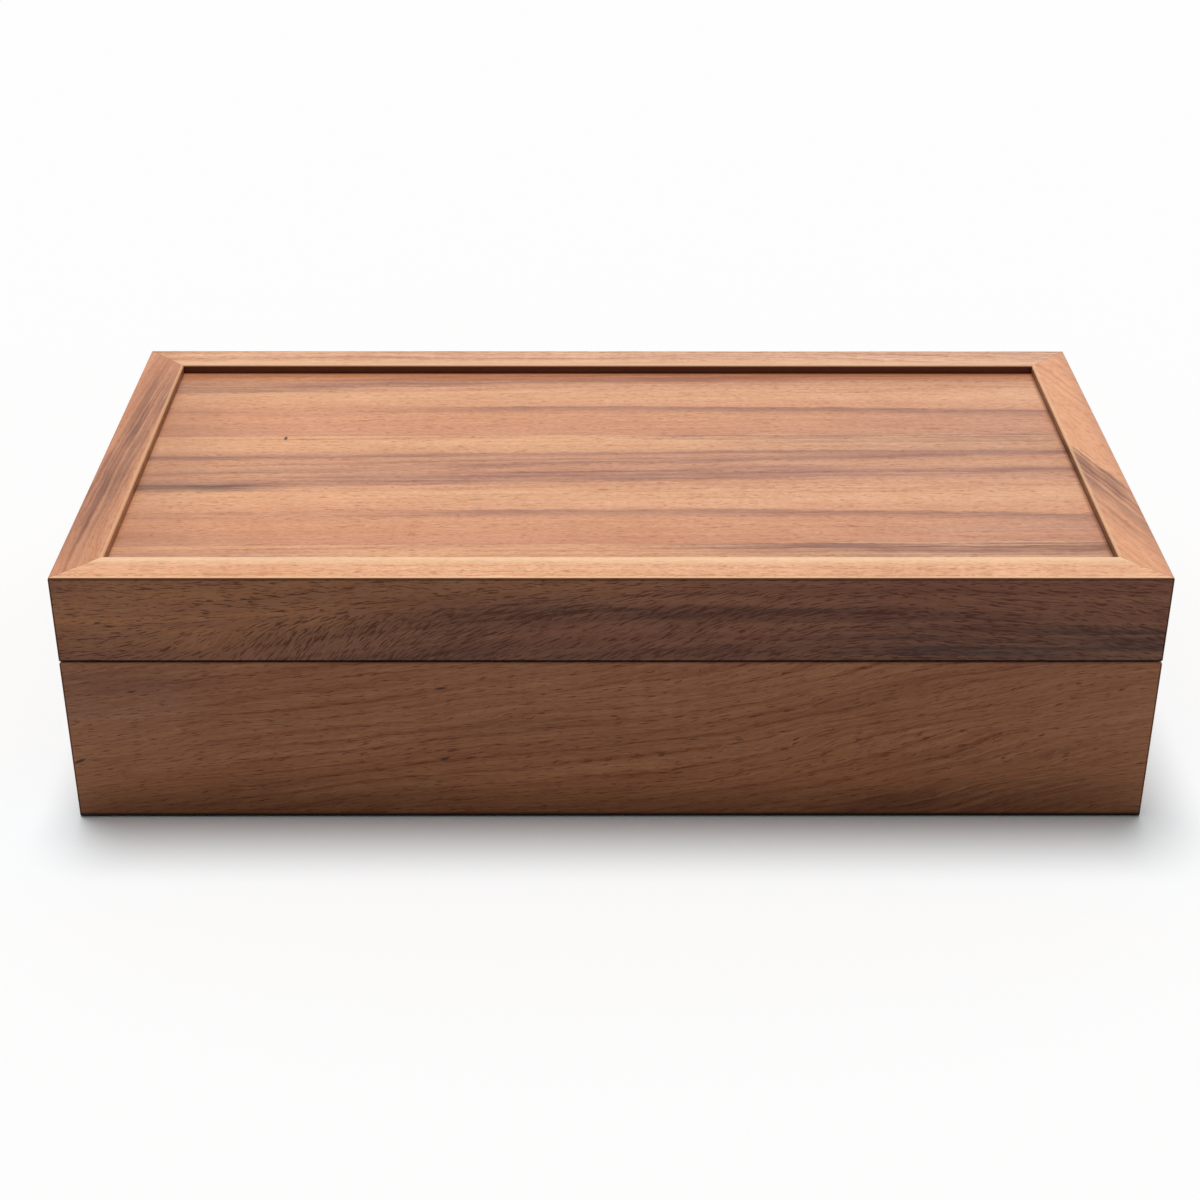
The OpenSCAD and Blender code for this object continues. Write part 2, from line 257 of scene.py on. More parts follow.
def streaked(tree, colour, streak, field, worn, ragged):  # one dark or light streak on its own path
    run = addNode(tree, "Math", {0: field["along"], 1: streak["mid"]}, operation="SUBTRACT")
    path = addNode(tree, "Math", {0: run, 1: streak["arch"], 2: streak["rise"]}, operation="MULTIPLY_ADD")
    path = addNode(tree, "Math", {0: run, 1: path, 2: streak["at"]}, operation="MULTIPLY_ADD")
    path = addNode(tree, "Math", {0: ragged, 1: streak["ragged"], 2: path}, operation="MULTIPLY_ADD")
    off = addNode(tree, "Math", {0: field["sheet"], 1: path}, operation="SUBTRACT")
    mask = addNode(tree, "MapRange", {0: off, 1: 0.0, 2: streak["over"], 3: 1.0, 4: 0.0}, **smooth)
    under = addNode(tree, "MapRange", {0: off, 1: -streak["under"], 2: 0.0}, **smooth)
    ends = fadedEnds(tree, field["along"], streak["from"], streak["to"], streak["fade"])
    least = (1 - streak["wear"]) * streak["depth"]
    broken = addNode(tree, "MapRange", {0: worn, 1: -streak["worn"], 2: streak["worn"],
                                        3: streak["depth"], 4: least})
    for part in (under, *ends, broken):
        mask = addNode(tree, "Math", {0: mask, 1: part}, operation="MULTIPLY")
    colour = addNode(tree, "Mix", {0: mask, 6: colour, 7: toLinear(streak["tone"])}, data_type="RGBA")
    return colour, mask


def poreDashes(tree, wood, lays, level):               # short dashes along the grain, 1 in a pore
    pores = 0.0
    for vector, weight in lays:
        cell = (1 / wood["poreLong"], 1 / wood["poreWide"], 1 / wood["poreWide"])
        space = addNode(tree, "Mapping", {"Vector": vector, "Location": [wood["seed"]] * 3,
                                          "Scale": cell})
        noise = addNode(tree, "TexNoise", {"Vector": space, "Scale": 1.0, "Detail": 1.0})
        # there are fewer as a lay ends
        least = addNode(tree, "Math", {0: 1.0, 1: weight}, operation="SUBTRACT")
        least = addNode(tree, "Math", {0: least, 1: poreShape["power"]}, operation="POWER")
        least = addNode(tree, "Math", {0: least, 1: poreShape["thin"], 2: level},
                        operation="MULTIPLY_ADD")
        most = addNode(tree, "Math", {0: least, 1: poreShape["soft"]}, operation="ADD")
        dash = addNode(tree, "MapRange", {0: noise, 1: least, 2: most})
        pores = addNode(tree, "Math", {0: dash, 1: pores}, operation="MAXIMUM")
    return pores


def growthRings(tree, wood, field, fibre):             # thin lines where a year's growth ends, 1 on it
    drift = variation(tree, field["lay"], grainMm["ringDrift"], wood["seed"] + 3.3)
    phase = addNode(tree, "Math", {0: field["lines"], 1: 1 / wood["ringMm"]}, operation="MULTIPLY")
    phase = addNode(tree, "Math", {0: drift, 1: ringShape["drift"], 2: phase}, operation="MULTIPLY_ADD")
    phase = addNode(tree, "Math", {0: fibre, 1: ringShape["fray"], 2: phase}, operation="MULTIPLY_ADD")
    phase = addNode(tree, "Math", {0: phase}, operation="FRACT")
    sharp = addNode(tree, "MapRange", {0: phase, 1: 0.0, 2: ringShape["crest"]})
    soft = addNode(tree, "MapRange", {0: phase, 1: ringShape["crest"], 2: ringShape["end"], 3: 1.0,
                                      4: 0.0})
    ring = addNode(tree, "Math", {0: sharp, 1: soft}, operation="MULTIPLY")
    shown = variation(tree, field["lay"], grainMm["ringShown"], wood["seed"] + 8.8)
    low, high, least = ringShape["shown"]
    shown = addNode(tree, "MapRange", {0: shown, 1: low, 2: high, 3: least, 4: 1.0})
    dashed = variation(tree, field["grain"], grainMm["ringDashed"], wood["seed"] + 2.9)
    low, high, least = ringShape["dashed"]
    dashed = addNode(tree, "MapRange", {0: dashed, 1: low, 2: high, 3: least, 4: 1.0})
    for part in (shown, dashed, *fadedEnds(tree, field["along"], *wood["ringSpan"], ringShape["fade"])):
        ring = addNode(tree, "Math", {0: ring, 1: part}, operation="MULTIPLY")
    return ring


def swung(tree, wood, colour, gain):                   # darker grain turns redder, as oiled wood does
    parts = addNode(tree, "CombineXYZ", {0: gain, 1: gain, 2: gain})
    parts = addNode(tree, "VectorMath", {0: parts, 1: wood["swing"], 2: (1, 1, 1)},
                    operation="MULTIPLY_ADD")
    return addNode(tree, "VectorMath", {0: colour, 1: parts}, operation="MULTIPLY")


def railMarks(tree, wood, field, colour, corner):      # glue lines, painted highlights on the arrises, painted shade at the recess feet
    mitre = wood["mitre"]
    out = addNode(tree, "Math", {0: field["along"]}, operation="ABSOLUTE")
    inward = addNode(tree, "Math", {0: field["axes"][mitre["axis"]], 1: -mitre["turn"],
                                    2: mitre["turn"] * mitre["face"]}, operation="MULTIPLY_ADD")
    room = addNode(tree, "Math", {0: mitre["half"], 1: out}, operation="SUBTRACT")
    room = addNode(tree, "Math", {0: room, 1: inward}, operation="SUBTRACT")
    glue = addNode(tree, "MapRange", {0: room, 1: glueLine["from"], 2: glueLine["to"],
                                      3: glueLine["share"], 4: 0.0})
    masks = [(glue, wood["poreTone"])]
    # painted highlight in bands along the cap's outer and inner arrises
    if "rub" in wood:
        rub = wood["rub"]
        outer = addNode(tree, "MapRange", {0: inward, 1: rub["hard"] * rub["outerMm"], 2: rub["outerMm"],
                                           3: rub["outer"], 4: 0.0})
        inner = addNode(tree, "MapRange", {0: inward, 1: rub["wall"] - rub["innerMm"],
                                           2: rub["wall"] - rub["hard"] * rub["innerMm"],
                                           4: rub["inner"]})
        bare = addNode(tree, "Math", {0: 1.0, 1: corner}, operation="SUBTRACT")
        bare = addNode(tree, "Math", {0: bare, 1: field["cap"]}, operation="MULTIPLY")
        for part, tone in ((outer, "outerTone"), (inner, "innerTone")):
            masks.append((addNode(tree, "Math", {0: part, 1: bare}, operation="MULTIPLY"), rub[tone]))
    # painted shade along the foot of the recess walls, darkest in a line at the panel
    if "foot" in wood:
        foot = wood["foot"]
        height = field["axes"]["Z"]
        near, far = foot["skin"]
        thin, thick = foot["lineMm"]
        wall = addNode(tree, "MapRange", {0: inward, 1: foot["wall"] - far, 2: foot["wall"] - near})
        above = addNode(tree, "MapRange", {0: height, 1: foot["low"] - foot["lead"], 2: foot["low"]})
        line = addNode(tree, "MapRange", {0: height, 1: foot["low"] + thin, 2: foot["low"] + thick,
                                          3: foot["line"], 4: foot["share"]})
        below = addNode(tree, "MapRange", {0: height, 1: foot["high"] - foot["tail"], 2: foot["high"],
                                           3: 1.0, 4: 0.0})
        paintedShade = wall
        for part in (above, line, below):
            paintedShade = addNode(tree, "Math", {0: paintedShade, 1: part}, operation="MULTIPLY")
        masks.append((paintedShade, foot["tone"]))
    for mask, tone in masks:
        colour = addNode(tree, "Mix", {0: mask, 6: colour, 7: toLinear(tone)}, data_type="RGBA")
    return colour


def acaciaWood(name, settings):
    wood = {**stock, **settings}
    mat, tree = newMaterial(name)
    field = grainField(tree, wood)
    lays = grainLays(tree, wood, field)
    seed = wood["seed"]
    fine = variation(tree, field["grain"], (wood["lineLong"], wood["lineMm"], wood["lineDeep"]),
                     seed + 4.1, 3.0)
    ragged = variation(tree, field["lay"], grainMm["ragged"], seed + 6.3, 4.0)
    patchy = variation(tree, field["lay"], grainMm["worn"], seed + 3.7)
    worn = addNode(tree, "Math", {0: patchy, 1: oiled["patchShare"], 2: fine}, operation="MULTIPLY_ADD")
    fibre = 0.0
    for vector, weight in lays:
        thread = variation(tree, vector, grainMm["fibre"], seed + 9.7)
        fibre = addNode(tree, "Math", {0: thread, 1: weight, 2: fibre}, operation="MULTIPLY_ADD")

    # broad bands pick the tone
    if "leafMm" in wood:
        band = addNode(tree, "Math", {0: field["lines"], 1: 1 / wood["leafMm"]}, operation="MULTIPLY")
    else:
        bandSizes = (wood["bandLong"], wood["bandMm"], wood["bandDeep"])
        band = variation(tree, field["grain"], bandSizes, seed + 1.9, 3.0)
        band = addNode(tree, "Math", {0: band, 1: wood["spread"], 2: 0.5}, operation="MULTIPLY_ADD")
    index = addNode(tree, "Math", {0: fine, 1: wood["jitter"], 2: band}, operation="MULTIPLY_ADD")
    colour = addNode(tree, "ValToRGB", {"Fac": index}, stops=wood["tones"])
    if "cap" in wood:
        top = addNode(tree, "ValToRGB", {"Fac": index}, stops=wood["cap"]["tones"])
        colour = addNode(tree, "Mix", {0: field["cap"], 6: colour, 7: top}, data_type="RGBA")
    level = wood["poreLevel"]
    for mark in wood["streaks"]:
        streak = {**plainStreak, "tone": wood["streakTone"], **mark}
        colour, mask = streaked(tree, colour, streak, field, worn, ragged)
        if "pores" in streak:                          # pores crowd in this streak
            level = addNode(tree, "Math", {0: mask, 1: -streak["pores"], 2: level},
                            operation="MULTIPLY_ADD")

    # growth lines, fibres, shimmer, slow patches and fine speckle lighten and darken it
    rings = growthRings(tree, wood, field, fibre)
    figureSizes = (wood["figureMm"], wood["figureWide"], wood["figureWide"])
    figure = variation(tree, lays[0][0], figureSizes, seed + 2.2)
    patch = variation(tree, field["lay"], grainMm["patch"], seed + 5.5)
    speckle = variation(tree, field["grain"], grainMm["speckle"], seed + 7.7)
    gain = addNode(tree, "Math", {0: rings, 1: -wood["ringDepth"]}, operation="MULTIPLY")
    for part, depth in ((fine, "lineDepth"), (fibre, "fibreDepth"), (figure, "figure"), (patch, "mottle"),
                        (speckle, "speckle")):
        gain = addNode(tree, "Math", {0: part, 1: wood[depth], 2: gain}, operation="MULTIPLY_ADD")
    if "cap" in wood:
        calm = addNode(tree, "MapRange", {0: field["cap"], 3: 1.0, 4: wood["cap"]["calm"]})
        gain = addNode(tree, "Math", {0: gain, 1: calm}, operation="MULTIPLY")
    colour = swung(tree, wood, colour, gain)
    if "damp" in wood:                                 # painted shade: the board darkens towards the floor, with a darker contact line at its foot
        height = field["axes"]["Z"]
        damp = wood["damp"]
        dark = addNode(tree, "MapRange", {0: height, 1: 0.0, 2: damp["to"], 3: damp["gain"], 4: 1.0},
                       **smooth)
        low, high = damp["grimeMm"]
        grime = addNode(tree, "MapRange", {0: height, 1: low, 2: high, 3: damp["grime"], 4: 1.0})
        low, high = damp["underMm"]
        under = addNode(tree, "MapRange", {0: height, 1: low, 2: high, 3: 1.0, 4: 0.0})
        grime = addNode(tree, "Math", {0: grime, 1: under}, operation="MAXIMUM")
        dark = addNode(tree, "Math", {0: dark, 1: grime}, operation="MULTIPLY")
        colour = addNode(tree, "VectorMath", {0: colour, 3: dark}, operation="SCALE")
    if "drift" in wood:                                # the hue changes slowly across the board
        drift = wood["drift"]
        way = addNode(tree, "MapRange", {0: field["axes"][drift["axis"]], 1: drift["from"],
                                         2: drift["to"]})
        tint = addNode(tree, "Mix", {0: way, 6: (*drift["low"], 1.0), 7: (*drift["high"], 1.0)},
                       data_type="RGBA")
        colour = addNode(tree, "VectorMath", {0: colour, 1: tint}, operation="MULTIPLY")

    # pores, pin knots, glue lines, and painted highlight and shade on the edges
    level = addNode(tree, "Math", {0: rings, 1: ringShape["pores"], 2: level}, operation="MULTIPLY_ADD")
    pores = poreDashes(tree, wood, lays, level)
    poreMix = addNode(tree, "Math", {0: pores, 1: wood["poreDepth"]}, operation="MULTIPLY")
    if "cap" in wood:
        faint = addNode(tree, "MapRange", {0: field["cap"], 3: 1.0, 4: wood["cap"]["poreShare"]})
        poreMix = addNode(tree, "Math", {0: poreMix, 1: faint}, operation="MULTIPLY")
    poreTone = toLinear(wood["poreTone"])
    if "cap" in wood:
        topTone = toLinear(wood["cap"]["poreTone"])
        poreTone = addNode(tree, "Mix", {0: field["cap"], 6: poreTone, 7: topTone}, data_type="RGBA")
    colour = addNode(tree, "Mix", {0: poreMix, 6: colour, 7: poreTone}, data_type="RGBA")
    whole, gone = wood["knotEdge"]
    for speck in wood["specks"]:
        off = addNode(tree, "VectorMath", {0: field["lay"], 1: (*speck["at"], 0)}, operation="SUBTRACT")
        off = addNode(tree, "VectorRotate", {"Vector": off, "Angle": math.radians(-speck.get("turn", 0))},
                      rotation_type="Z_AXIS")
        off = addNode(tree, "VectorMath", {0: off, 1: (1 / speck["long"], 1 / speck["wide"], 0)},
                      operation="MULTIPLY")
        size = addNode(tree, "VectorMath", {0: off}, operation="LENGTH")
        spot = addNode(tree, "MapRange", {0: size.outputs["Value"], 1: whole, 2: gone, 3: speck["depth"],
                                          4: 0.0})
        colour = addNode(tree, "Mix", {0: spot, 6: colour, 7: toLinear(wood["knotTone"])},
                         data_type="RGBA")
    # arris above 0 is a painted highlight on eased edges, below 0 painted shade in gaps and at corners
    edge = addNode(tree, "Attribute", attribute_name="arris").outputs["Fac"]
    rubbed = addNode(tree, "MapRange", {0: edge, 1: 0.0, 2: 1.0, 4: wood["arrisHighlightShare"]})
    colour = addNode(tree, "Mix", {0: rubbed, 6: colour, 7: toLinear(wood["arrisHighlightTone"])},
                     data_type="RGBA")
    # painted shade on the edge faces marked below 0
    corner = addNode(tree, "MapRange", {0: edge, 1: 0.0, 2: -1.0, 4: wood["edgeShadeShare"]})
    paintedShade = toLinear(wood["edgeShadeTone"])
    if "cap" in wood:                                  # the painted edge shade is lighter on top than below
        low, high = wood["cap"]["shadeMm"]
        upper = addNode(tree, "MapRange", {0: field["axes"]["Z"], 1: wood["cap"]["from"] - low,
                                           2: wood["cap"]["from"] - high})
        paintedShade = addNode(tree, "Mix", {0: upper, 6: paintedShade, 7: toLinear(wood["cap"]["edgeShadeTone"])},
                        data_type="RGBA")
    colour = addNode(tree, "Mix", {0: corner, 6: colour, 7: paintedShade}, data_type="RGBA")
    if "mitre" in wood:
        colour = railMarks(tree, wood, field, colour, corner)
    if "rim" in wood:                                  # painted shade darkens a panel along its rebate; the right rail is darker along its outer edge
        for rim in wood["rim"]:
            gap = addNode(tree, "Math", {0: field["axes"][rim["axis"]], 1: -rim["side"], 2: rim["at"]},
                          operation="MULTIPLY_ADD")
            dark = addNode(tree, "MapRange", {0: gap, 1: wood["rimMm"], 2: rim["mm"], 3: rim["share"],
                                              4: 0.0}, **smooth)
            colour = addNode(tree, "Mix", {0: dark, 6: colour, 7: toLinear(rim["tone"])},
                             data_type="RGBA")

    # oiled satin surface, with open pores that are duller
    relief = addNode(tree, "Math", {0: pores, 1: oiled["relief"], 2: fibre}, operation="MULTIPLY_ADD")
    bump = addNode(tree, "Bump", {"Strength": oiled["bump"], "Distance": oiled["bumpMm"] * mm,
                                  "Height": relief})
    dull = addNode(tree, "Math", {0: pores, 1: oiled["poreDull"], 2: wood["rough"]},
                   operation="MULTIPLY_ADD")
    dull = addNode(tree, "Math", {0: fibre, 1: oiled["fibreDull"], 2: dull}, operation="MULTIPLY_ADD")
    edgeSize = addNode(tree, "Math", {0: edge}, operation="ABSOLUTE")
    dull = addNode(tree, "Math", {0: edgeSize, 1: oiled["edgeDull"], 2: dull}, operation="MULTIPLY_ADD")
    sheen = wood["gloss"]
    if wood["arrisHighlightShare"]:                             # eased edges have lost their gloss
        sheen = addNode(tree, "MapRange", {0: edgeSize, 3: wood["gloss"],
                                           4: oiled["edgeGloss"] * wood["gloss"]})
    skin = addNode(tree, "BsdfPrincipled", {"Base Color": colour, "Roughness": dull, "Normal": bump,
                                            "Specular IOR Level": sheen})
    addNode(tree, "OutputMaterial", {0: skin})
    return mat


# wood pieces: a copy of each CAD solid, with its chamfered edges rounded over. Angles are in degrees.

easing = {"weldMm": 0.002, "touchMm": 0.01, "flat": 0.5, "chamfer": (35, 55), "square": 60, "smooth": 32,
          "segments": 3, "narrowMm": 0.8, "slant": 0.995, "highMm": 1.5, "facesUp": 0.01, "upright": 0.1,
          "dark": -0.9, "darkCorner": -0.6}


def onMitre(point, mitre):                             # whether a point lies on a mitre of the board
    along = abs(point[mitre["run"]]) / mm
    inward = mitre["turn"] * (mitre["face"] - point["XYZ".index(mitre["axis"])] / mm)
    return abs(mitre["half"] - along - inward) < easing["touchMm"]


def easedPiece(piece):
    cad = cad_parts[piece["node"]]
    board = bpy.data.objects.new(piece["name"], cad.data.copy())
    bpy.context.scene.collection.objects.link(board)
    bpy.ops.object.select_all(action="DESELECT")
    board.select_set(True)
    bpy.context.view_layer.objects.active = board
    bpy.ops.mesh.customdata_custom_splitnormals_clear()
    bpy.ops.object.mode_set(mode="EDIT")
    bpy.ops.mesh.select_mode(type="EDGE")
    bpy.ops.mesh.select_all(action="SELECT")
    bpy.ops.mesh.remove_doubles(threshold=easing["weldMm"] * mm)
    bpy.ops.mesh.dissolve_limited(angle_limit=math.radians(easing["flat"]))
    bpy.ops.mesh.select_all(action="DESELECT")
    mesh = bmesh.from_edit_mesh(board.data)
    top = max(v.co.z for v in mesh.verts)
    least, most = easing["chamfer"]
    for edge in mesh.edges:
        turn = math.degrees(edge.calc_face_angle(0))
        if "mitre" in piece["wood"]:
            mitre = piece["wood"]["mitre"]
            wanted = least < turn < most and not all(onMitre(v.co, mitre) for v in edge.verts)
        else:
            onTop = all(top - v.co.z < easing["touchMm"] * mm for v in edge.verts)
            wanted = turn > easing["square"] and onTop
        edge.select_set(wanted)
    bmesh.update_edit_mesh(board.data)
    bpy.ops.mesh.bevel(offset=piece["ease"] * mm, segments=easing["segments"], affect="EDGES",
                       clamp_overlap=True)
    bpy.ops.object.mode_set(mode="OBJECT")
    edges = board.data.attributes.new("arris", "FLOAT", "FACE")    # painted highlight above 0, painted shade below
    points = board.data.vertices
    for face in board.data.polygons:
        longest = max((points[a].co - points[b].co).length for a, b in face.edge_keys)
        narrow = face.area < easing["narrowMm"] * mm * longest
        slanted = max(abs(part) for part in face.normal) < easing["slant"] and narrow
        high = top - face.center.z < easing["highMm"] * mm and face.normal.z > easing["facesUp"]
        # slanted edge faces near the top that face up get the painted highlight, other slanted ones
        # painted shade
        rubbed = piece["topEdgeHighlight"] if face.normal.z > piece.get("rubbedTo", 0) else easing["dark"]
        corner = easing["darkCorner"] if abs(face.normal.z) < easing["upright"] else easing["dark"]
        edges.data[face.index].value = (rubbed if high else corner) if slanted else 0.0
    bpy.ops.object.shade_smooth_by_angle(angle=math.radians(easing["smooth"]))
    board.data.materials.clear()
    board.data.materials.append(acaciaWood(piece["finish"], piece["wood"]))
    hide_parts(piece["node"])
    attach(board, piece["body"])
    return board


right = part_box("lid_right_rail")
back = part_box("lid_back_rail")
half = {"X": round(right[1].x / mm, 2), "Y": round(back[1].y / mm, 2)}         # of the box
panelEdge = {"X": round(right[0].x / mm, 2), "Y": round(back[0].y / mm, 2)}    # of the lid frame's opening
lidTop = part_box("lid_front_rail")[1].z / mm
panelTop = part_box("lid_veneer_middle")[1].z / mm
railMm = half["X"] - panelEdge["X"]


def cornered(side):                                    # where a wall or rail of that side is mitred
    run, face = ("X", "Y") if side in ("front", "back") else ("Y", "X")
    turn = -1 if side in ("front", "left") else 1
    return {"axis": face, "run": "XYZ".index(run), "face": turn * half[face], "turn": turn,
            "half": half[run]}


# the rails' sides are darker than their tops, partly as painted shade
lidTones = [(0.0, "#845341"), (0.35, "#a66d55"), (0.65, "#b67b5e"), (1.0, "#ca8f6a")]
sideTones = [(0.0, "#9c6a4e"), (0.5, "#ba8260"), (1.0, "#cb936d")]
capLayer = {"from": lidTop - 0.5, "to": lidTop - 0.2, "poreShare": 0.6, "calm": 1.0,
            "poreTone": "#94542f", "edgeShadeTone": "#1c0f0a", "shadeMm": (3, 1)}
# painted highlight along the rails' outer and inner top arrises
rubbedRail = {"outerMm": 1.0, "innerMm": 1.3, "hard": 0.4, "wall": railMm, "outer": 0.0,
              "outerTone": "#ffd09e", "inner": 0.5, "innerTone": "#f3cda3"}
# painted shade at the foot of the recess walls
recessFoot = {"wall": railMm, "low": panelTop - 0.1, "high": lidTop - 0.3, "skin": (0.35, 0.45),
              "lead": 0.6, "tail": 0.3, "lineMm": (0.5, 1.3), "line": 0.92, "share": 0.7,
              "tone": "#451c08"}

railPiece = {"body": "lid", "slot": "lid_acacia", "ease": 0.2, "topEdgeHighlight": 1.0}
wallPiece = {"body": "base", "slot": "base_acacia", "ease": 0.2, "topEdgeHighlight": 0.1}
dividerPiece = {"body": "base", "slot": "divider_acacia", "ease": 0.8, "topEdgeHighlight": 0.4}

lidFront = {
    **railPiece, "name": "lidFrontRail", "node": "lid_front_rail", "finish": "oiled_acacia_lid_front",
    "rubbedTo": 0.72,
    "wood": {
        "axes": "XZY", "tilt": 0.8, "mitre": cornered("front"), "seed": 1, "waver": 1.5,
        "bends": [{"from": -170, "to": 40, "rise": 16}],
        "swirl": {
            "start": 6, "least": -15, "most": 55, "step": 10,
            "turns": [
                {"from": -180, "to": -95, "by": 46},
                {"from": -95, "to": -35, "by": -30},
                {"from": 40, "to": 110, "by": -26},
                {"from": 110, "to": 180, "by": -8}
            ],
            "rim": {"from": -130, "to": 20, "low": 80.6, "high": 94.1, "soft": 14}
        },
        "bandMm": 11, "tones": lidTones, "ringDepth": 0.06, "fibreDepth": 0.22, "arrisHighlightTone": "#ffc890",
        "arrisHighlightShare": 0.9, "edgeShadeTone": "#0e0603",
        "cap": {
            **capLayer, "calm": 0.95, "poreShare": 0.65, "edgeShadeTone": "#3d1807",
            "tones": [(0.0, "#e0a47a"), (0.5, "#e9b088"), (1.0, "#efbc95")]
        },
        "rub": {
            **rubbedRail, "outerMm": 1.5, "outer": 0.9, "innerMm": 6, "inner": 0.55,
            "innerTone": "#fddab1"
        },
        "figure": 0.06, "figureMm": 5, "poreLong": 4.2, "poreWide": 0.38, "poreLevel": 0.57,
        "poreDepth": 0.8,
        "streaks": [
            {"at": 80.6, "mid": 30, "arch": -0.00054, "over": 4.5, "under": 8, "from": -128, "to": 230,
             "depth": 0.6, "tone": "#4f3e3b", "ragged": 2.8, "pores": 0.1},
            {"at": 63.1, "over": 5.5, "under": 8, "from": -120, "to": 125, "depth": 0.54,
             "tone": "#4f4040", "ragged": 2.8, "pores": 0.1},
            {"at": 66.4, "over": 11, "under": 9, "from": 40, "to": 300, "fade": 70, "depth": 0.8,
             "tone": "#524744", "ragged": 3.2, "pores": 0.05},
            {"at": 69.3, "over": 9, "under": 9, "from": -135, "to": -20, "fade": 40, "depth": 0.28,
             "tone": "#5a413a", "ragged": 2, "pores": 0.07},
            {"at": 78.6, "over": 20, "under": 22, "from": -270, "to": -25, "fade": 110, "depth": 1.0,
             "tone": "#e7a170", "pores": -0.04},
            {"at": 88.9, "over": 6, "under": 9, "from": -200, "to": 60, "fade": 80, "depth": 0.45,
             "tone": "#dd9b68"},
            {"at": 61.4, "over": 0.6, "under": 1.5, "from": -400, "to": 20, "fade": 90, "depth": 0.95,
             "wear": 0.1, "tone": "#0a0502", "ragged": 0.05}
        ]
    }
}

lidBack = {
    **railPiece, "name": "lidBackRail", "node": "lid_back_rail", "finish": "oiled_acacia_lid_back",
    "wood": {
        "axes": "XZY", "tilt": 0.9, "mitre": cornered("back"), "seed": 2, "slope": 0.02,
        "tones": lidTones, "bandMm": 9,
        "rub": {**rubbedRail, "innerMm": 7, "inner": 0.6, "innerTone": "#efbc94"},
        "foot": {**recessFoot, "high": lidTop - 0.1, "share": 0.85},
        "drift": {
            "axis": "X", "from": -180, "to": 180, "low": (1.0, 0.97, 0.9), "high": (0.96, 1.02, 1.12)
        },
        "cap": {
            **capLayer, "calm": 1.9, "poreShare": 1.1,
            "tones": [(0.0, "#bf8967"), (0.45, "#dca683"), (1.0, "#eab78f")]
        }
    }
}

lidLeft = {
    **railPiece, "name": "lidLeftRail", "node": "lid_left_rail", "finish": "oiled_acacia_lid_left",
    "wood": {
        "axes": "YXZ", "tilt": 0.5, "mitre": cornered("left"), "seed": 3, "slope": -0.053,
        "tones": sideTones, "bandMm": 7, "ringDepth": 0.1, "arrisHighlightTone": "#e3a77d",
        "rub": {**rubbedRail, "inner": 0.7, "innerTone": "#ecbb8f"},
        "foot": {**recessFoot, "high": lidTop - 0.6, "line": 0.1, "share": 0.0},
        "cap": {**capLayer, "tones": [(0.0, "#b3775a"), (0.5, "#c98964"), (1.0, "#d99d75")]},
        "streaks": [
            {"at": -173.8, "over": 12, "under": 7, "from": -105, "to": 95, "fade": 60, "depth": 1.0,
             "tone": "#623c30", "ragged": 2.2}
        ]
    }
}

lidRight = {
    **railPiece, "name": "lidRightRail", "node": "lid_right_rail", "finish": "oiled_acacia_lid_right",
    "wood": {
        "axes": "YXZ", "tilt": 0.5, "mitre": cornered("right"), "seed": 4, "slope": 0.366,
        "tones": sideTones, "bandMm": 9, "spread": 0.2, "ringDepth": 0.05, "rub": rubbedRail,
        "foot": {**recessFoot, "line": 0.65, "share": 0.3}, "plunge": {"from": lidTop, "lean": 1.2},
        # a darker strip along the rail's outer edge
        "rim": [{"axis": "X", "side": 1, "at": half["X"], "mm": 6, "share": 0.3, "tone": "#a8755c"}],
        "cap": {**capLayer, "tones": [(0.0, "#d4946d"), (0.5, "#e2a27a"), (1.0, "#e9ab81")]},
        "streaks": [
            {"at": 162, "over": 5, "under": 28, "from": -95, "to": 40, "fade": 50, "depth": 0.8,
             "tone": "#a8725a", "ragged": 0.8},
            {"at": 168.2, "over": 0.8, "under": 17, "from": -95, "to": 50, "depth": 0.95,
             "tone": "#785041", "ragged": 0.6},
            {"at": 159, "over": 0.6, "under": 4, "from": -75, "to": 30, "depth": 0.6, "tone": "#7f5b4d",
             "ragged": 0.6},
            {"at": 152, "over": 0.5, "under": 3, "from": -85, "to": 20, "depth": 0.5, "tone": "#7f5b4d",
             "ragged": 0.6}
        ]
    }
}

baseTones = [(0.0, "#a36a48"), (0.4, "#c6855d"), (0.7, "#d29166"), (1.0, "#dc9d71")]
wallWood = {"tones": baseTones, "bandMm": 8, "spread": 0.2, "ringMm": 4.8, "ringDepth": 0.46, "waver": 4,
            "ripple": 0.35, "mottle": 0.08, "lineMm": 1.0, "lineLong": 60, "lineDepth": 0.13,
            "speckle": 0.09, "fibreDepth": 0.17, "poreLong": 5, "poreWide": 0.36, "poreLevel": 0.618,
            "poreDepth": 0.7,
            # painted shade towards the floor, and a painted contact line just above it
            "damp": {"to": 18, "gain": 0.66, "grime": 0.25, "grimeMm": (1.0, 2.0),
                     "underMm": (0.005, 0.02)},
            "drift": {"axis": "Z", "from": 0, "to": 60, "low": (1.0, 0.93, 0.86),
                      "high": (1.0, 0.985, 1.06)}}

